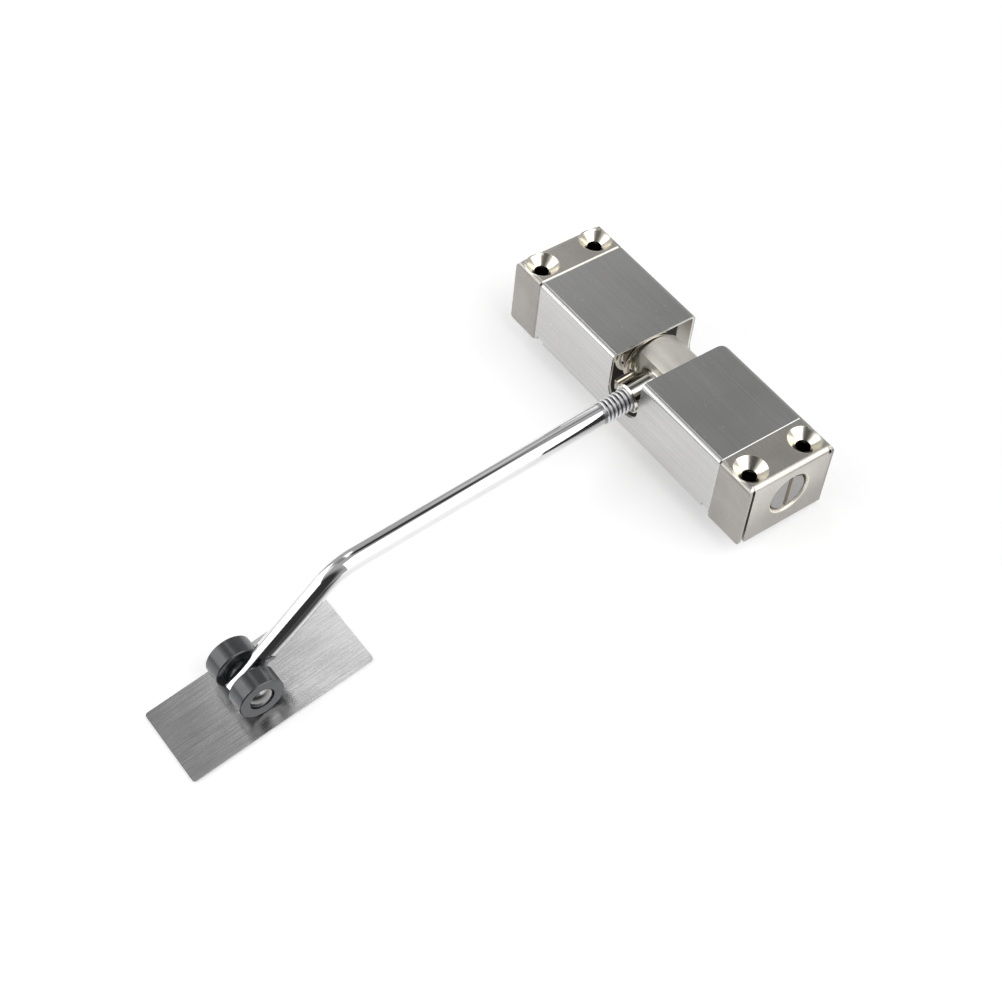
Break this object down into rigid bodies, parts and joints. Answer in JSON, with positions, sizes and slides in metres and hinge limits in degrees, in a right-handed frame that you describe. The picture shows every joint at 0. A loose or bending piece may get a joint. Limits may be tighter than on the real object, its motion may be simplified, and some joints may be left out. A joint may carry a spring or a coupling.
{
  "type": "spring door closer",
  "caption": "Surface-mounted spring door closer: folded steel housing with coil springs on a pivot shaft, and a cranked arm with rollers that run on a slide plate.",
  "frame": {"origin": "middle of the four mounting-screw holes, on the flat plane that the housing is screwed to", "axes": "+X along the pivot shaft towards the slotted tension adjuster, -Y towards the arm and its rollers, +Z away from the mounting surface"},
  "size_m": [0.0961, 0.1664, 0.057],
  "materials": {
    "cover_steel": "brushed along the length",
    "cap_steel": "polished, slightly warm",
    "plate_steel": "brushed along the length",
    "cast_alloy": "die cast, matt",
    "hub_nickel": "nickel plated, satin",
    "arm_chrome": "bright plated",
    "turned_steel": "turned, bright",
    "spring_steel": "drawn wire",
    "bearing_bronze": "sintered",
    "roller_nylon": "moulded, dark grey",
    "pad_foam": "thin foam tape"
  },
  "bodies": {
    "housing": {"cover": "cover_steel", "left_end_cap": "cap_steel", "right_end_cap": "cap_steel", "left_end_block": "cast_alloy", "right_end_block": "cast_alloy", "pivot_shaft": "turned_steel", "left_thrust_washer": "turned_steel"},
    "arm": {"pivot_hub": "hub_nickel", "left_hub_bush": "bearing_bronze", "right_hub_bush": "bearing_bronze", "left_spring": "spring_steel", "right_spring": "spring_steel", "arm_rod": "arm_chrome", "roller_axle": "turned_steel", "front_spacer": "roller_nylon", "rear_spacer": "roller_nylon"},
    "adjuster": {"tension_adjuster": "turned_steel", "adjuster_washer": "spring_steel", "right_thrust_washer": "turned_steel"},
    "front_roller": {"front_roller": "roller_nylon"},
    "rear_roller": {"rear_roller": "roller_nylon"},
    "plate": {"slide_plate": "plate_steel", "adhesive_pad": "pad_foam"}
  },
  "joints": [
    {"name": "arm_swing", "type": "hinge", "parent": "housing", "child": "arm", "pos_m": [0.0006, 0.001, 0.0108], "axis": [-1, 0, 0], "range_deg": [0, 186], "stiffness_Nm_per_rad": 0.45, "springref_deg": -57.3, "deforming": ["left_spring", "right_spring"]},
    {"name": "adjuster_turn", "type": "hinge", "parent": "housing", "child": "adjuster", "pos_m": [0.04, 0.001, 0.0108], "axis": [1, 0, 0], "range_deg": [0, 180], "deforming": ["right_spring"]},
    {"name": "plate_travel", "type": "slide", "parent": "arm", "child": "plate", "axis": [0, -0.9778, -0.2096], "range_m": [-0.02, 0.024]},
    {"name": "front_roller_spin", "type": "hinge", "parent": "arm", "child": "front_roller", "pos_m": [0.0003, -0.12943, -0.02383], "axis": [1, 0, 0], "continuous": true},
    {"name": "rear_roller_spin", "type": "hinge", "parent": "arm", "child": "rear_roller", "pos_m": [0.0003, -0.12943, -0.02383], "axis": [1, 0, 0], "continuous": true}
  ]
}
